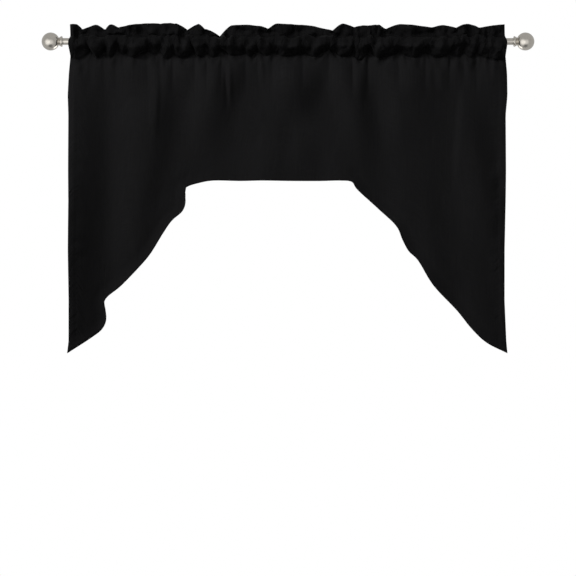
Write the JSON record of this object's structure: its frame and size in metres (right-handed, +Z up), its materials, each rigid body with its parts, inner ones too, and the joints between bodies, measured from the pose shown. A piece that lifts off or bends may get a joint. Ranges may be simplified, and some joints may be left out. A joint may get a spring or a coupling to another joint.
{
  "type": "window swag on a curtain rod",
  "caption": "Gathered window swag with a ruffled heading, an arched hem and pointed tails, hung by its sewn pocket on a round rod with ball finials.",
  "frame": {"origin": "middle of the rod's axis, between the brackets that would hold it", "axes": "+X along the rod to the right as seen from the room, +Y towards the window, +Z up"},
  "size_m": [1.372, 0.0528, 0.9197],
  "materials": {
    "black_cloth": "matt black, close plain weave with a faint sheen",
    "satin_nickel": "satin nickel plate"
  },
  "bodies": {
    "root": {"swag": "black_cloth", "rod": "satin_nickel", "finial_left": "satin_nickel", "finial_right": "satin_nickel"}
  },
  "joints": []
}
